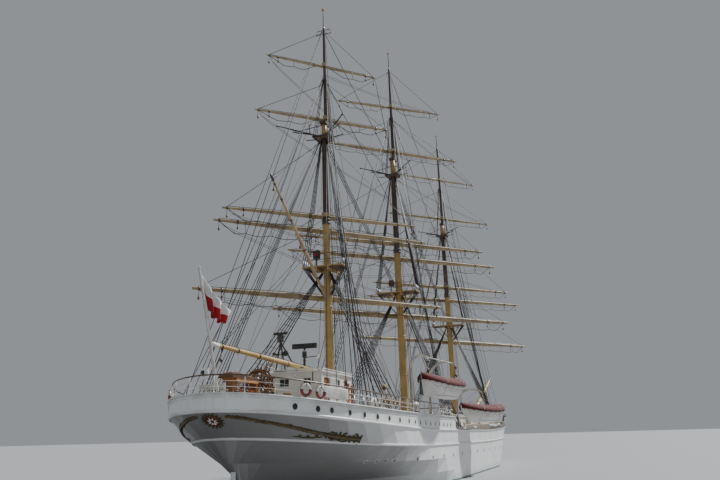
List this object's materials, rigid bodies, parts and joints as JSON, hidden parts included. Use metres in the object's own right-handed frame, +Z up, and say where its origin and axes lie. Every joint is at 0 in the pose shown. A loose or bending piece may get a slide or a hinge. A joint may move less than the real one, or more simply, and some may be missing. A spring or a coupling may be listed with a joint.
{
  "type": "1:10 scale model of a three-masted full-rigged sail training ship",
  "caption": "Full-rigged ship afloat with yards braced up and sails unbent, yards, rudder, boom, gaff, doors and scanners on real pivots.",
  "frame": {"origin": "waterline amidships, on the centreline", "axes": "+X to the bow, +Y to port, +Z up"},
  "size_m": [9.5233, 1.938, 5.085],
  "materials": {
    "boat_paint": "gloss white",
    "bronze": "cast bronze",
    "cloth": "woven",
    "gear_black": "matte black",
    "house_paint": "satin white enamel",
    "hull_paint": "satin white enamel",
    "spar_black": "semi-gloss dark brown enamel",
    "spar_buff": "semi-gloss buff yellow enamel",
    "underwater_paint": "matte dark green enamel",
    "varnished_wood": "varnished",
    "wire": "galvanised and tarred"
  },
  "bodies": {
    "ship": {"hull": "hull_paint", "stern_frame": "underwater_paint", "steering_gear_case": "varnished_wood", "chart_house_walls": "house_paint", "chart_house_roof": "house_paint", "midship_house_walls": "house_paint", "midship_house_roof": "house_paint", "bowsprit": "spar_buff", "mizzen_lower_mast": "spar_buff", "mizzen_topmast": "spar_black", "mizzen_topgallant_mast": "spar_black", "main_lower_mast": "spar_buff", "main_topmast": "spar_black", "main_topgallant_mast": "spar_black", "fore_lower_mast": "spar_buff", "fore_topmast": "spar_black", "fore_topgallant_mast": "spar_black", "mizzen_stay": "wire", "mizzen_topmast_stay": "wire", "main_stay": "wire", "main_topmast_stay": "wire", "fore_stay": "wire", "fore_topmast_stay": "wire", "lifeboat_aft_starboard": "boat_paint", "davits_aft_starboard": "house_paint", "lifeboat_aft_port": "boat_paint", "davits_aft_port": "house_paint", "lifeboat_midship_starboard": "boat_paint", "davits_midship_starboard": "house_paint", "lifeboat_midship_port": "boat_paint", "davits_midship_port": "house_paint", "anchor_starboard": "gear_black", "anchor_port": "gear_black", "radar_mast": "gear_black", "flagstaff": "house_paint", "ensign": "cloth"},
    "rudder": {"rudder": "underwater_paint"},
    "wheel": {"steering_wheel": "varnished_wood"},
    "propeller": {"propeller": "bronze"},
    "mizzen_course": {"mizzen_course_yard": "spar_buff"},
    "mizzen_lower_topsail": {"mizzen_lower_topsail_yard": "spar_buff"},
    "mizzen_upper_topsail": {"mizzen_upper_topsail_yard": "spar_buff"},
    "mizzen_topgallant": {"mizzen_topgallant_yard": "spar_buff"},
    "mizzen_royal": {"mizzen_royal_yard": "spar_buff"},
    "main_course": {"main_course_yard": "spar_buff"},
    "main_lower_topsail": {"main_lower_topsail_yard": "spar_buff"},
    "main_upper_topsail": {"main_upper_topsail_yard": "spar_buff"},
    "main_topgallant": {"main_topgallant_yard": "spar_buff"},
    "main_royal": {"main_royal_yard": "spar_buff"},
    "fore_course": {"fore_course_yard": "spar_buff"},
    "fore_lower_topsail": {"fore_lower_topsail_yard": "spar_buff"},
    "fore_upper_topsail": {"fore_upper_topsail_yard": "spar_buff"},
    "fore_topgallant": {"fore_topgallant_yard": "spar_buff"},
    "fore_royal": {"fore_royal_yard": "spar_buff"},
    "spanker_boom": {"spanker_boom": "spar_buff"},
    "gaff": {"gaff": "spar_buff"},
    "radar_scanner_large": {"radar_scanner_large": "gear_black"},
    "radar_scanner_small": {"radar_scanner_small": "gear_black"},
    "chart_house_door_starboard": {"chart_house_door_starboard": "varnished_wood"},
    "chart_house_door_port": {"chart_house_door_port": "varnished_wood"}
  },
  "joints": [
    {"name": "rudder_turn", "type": "hinge", "parent": "ship", "child": "rudder", "pos_m": [-3.615, 0, -0.3], "axis": [0, 0, 1], "range_deg": [-35, 35]},
    {"name": "wheel_turn", "type": "hinge", "parent": "ship", "child": "wheel", "pos_m": [-3.32, 0, 0.672], "axis": [1, 0, 0], "range_deg": [-350, 350]},
    {"name": "propeller_spin", "type": "hinge", "parent": "ship", "child": "propeller", "pos_m": [-3.502, 0, -0.31], "axis": [1, 0, 0], "continuous": true},
    {"name": "mizzen_course_brace", "type": "hinge", "parent": "ship", "child": "mizzen_course", "pos_m": [-2.21544, 0, 1.37], "axis": [0, 0, 1], "range_deg": [-97.5, 2.5]},
    {"name": "mizzen_lower_topsail_brace", "type": "hinge", "parent": "ship", "child": "mizzen_lower_topsail", "pos_m": [-2.23464, 0, 1.891], "axis": [0, 0, 1], "range_deg": [-94.3, 5.7]},
    {"name": "mizzen_upper_topsail_brace", "type": "hinge", "parent": "ship", "child": "mizzen_upper_topsail", "pos_m": [-2.28861, 0, 1.998], "axis": [0, 0, 1], "range_deg": [-91, 9]},
    {"name": "mizzen_topgallant_brace", "type": "hinge", "parent": "ship", "child": "mizzen_topgallant", "pos_m": [-2.27194, 0, 2.822], "axis": [0, 0, 1], "range_deg": [-91.8, 8.2]},
    {"name": "mizzen_royal_brace", "type": "hinge", "parent": "ship", "child": "mizzen_royal", "pos_m": [-2.28929, 0, 3.293], "axis": [0, 0, 1], "range_deg": [-94, 6]},
    {"name": "main_course_brace", "type": "hinge", "parent": "ship", "child": "main_course", "pos_m": [-0.22197, 0, 1.547], "axis": [0, 0, 1], "range_deg": [-95.8, 4.2]},
    {"name": "main_lower_topsail_brace", "type": "hinge", "parent": "ship", "child": "main_lower_topsail", "pos_m": [-0.24685, 0, 2.148], "axis": [0, 0, 1], "range_deg": [-92.3, 7.7]},
    {"name": "main_upper_topsail_brace", "type": "hinge", "parent": "ship", "child": "main_upper_topsail", "pos_m": [-0.31527, 0, 2.302], "axis": [0, 0, 1], "range_deg": [-92, 8]},
    {"name": "main_topgallant_brace", "type": "hinge", "parent": "ship", "child": "main_topgallant", "pos_m": [-0.31115, 0, 3.339], "axis": [0, 0, 1], "range_deg": [-92, 8]},
    {"name": "main_royal_brace", "type": "hinge", "parent": "ship", "child": "main_royal", "pos_m": [-0.33259, 0, 3.857], "axis": [0, 0, 1], "range_deg": [-88.1, 11.9]},
    {"name": "fore_course_brace", "type": "hinge", "parent": "ship", "child": "fore_course", "pos_m": [2.22385, 0, 1.571], "axis": [0, 0, 1], "range_deg": [-99.7, 0.3]},
    {"name": "fore_lower_topsail_brace", "type": "hinge", "parent": "ship", "child": "fore_lower_topsail", "pos_m": [2.18965, 0, 2.135], "axis": [0, 0, 1], "range_deg": [-93.1, 6.9]},
    {"name": "fore_upper_topsail_brace", "type": "hinge", "parent": "ship", "child": "fore_upper_topsail", "pos_m": [2.11699, 0, 2.309], "axis": [0, 0, 1], "range_deg": [-94.6, 5.4]},
    {"name": "fore_topgallant_brace", "type": "hinge", "parent": "ship", "child": "fore_topgallant", "pos_m": [2.10441, 0, 3.293], "axis": [0, 0, 1], "range_deg": [-93.2, 6.8]},
    {"name": "fore_royal_brace", "type": "hinge", "parent": "ship", "child": "fore_royal", "pos_m": [2.07009, 0, 3.859], "axis": [0, 0, 1], "range_deg": [-93.7, 6.3]},
    {"name": "spanker_boom_swing", "type": "hinge", "parent": "ship", "child": "spanker_boom", "pos_m": [-2.2904, 0, 0.798], "axis": [0, 0, 1], "range_deg": [-2.5, 45]},
    {"name": "gaff_swing", "type": "hinge", "parent": "ship", "child": "gaff", "pos_m": [-2.31092, 0, 1.355], "axis": [0, 0, 1], "range_deg": [-40, 40]},
    {"name": "radar_scanner_large_spin", "type": "hinge", "parent": "ship", "child": "radar_scanner_large", "pos_m": [-2.53, 0.075, 0.962], "axis": [0, 0, 1], "continuous": true},
    {"name": "radar_scanner_small_spin", "type": "hinge", "parent": "ship", "child": "radar_scanner_small", "pos_m": [-2.83, 0.115, 1.017], "axis": [0, 0, 1], "continuous": true},
    {"name": "chart_house_door_starboard_swing", "type": "hinge", "parent": "ship", "child": "chart_house_door_starboard", "pos_m": [-2.7915, -0.175, 0.62], "axis": [0, 0, 1], "range_deg": [-105, 0]},
    {"name": "chart_house_door_port_swing", "type": "hinge", "parent": "ship", "child": "chart_house_door_port", "pos_m": [-2.7915, 0.175, 0.62], "axis": [0, 0, 1], "range_deg": [0, 105]}
  ],
  "couplings": [
    {"joint": "wheel_turn", "follows": "rudder_turn", "ratio": -10}
  ]
}
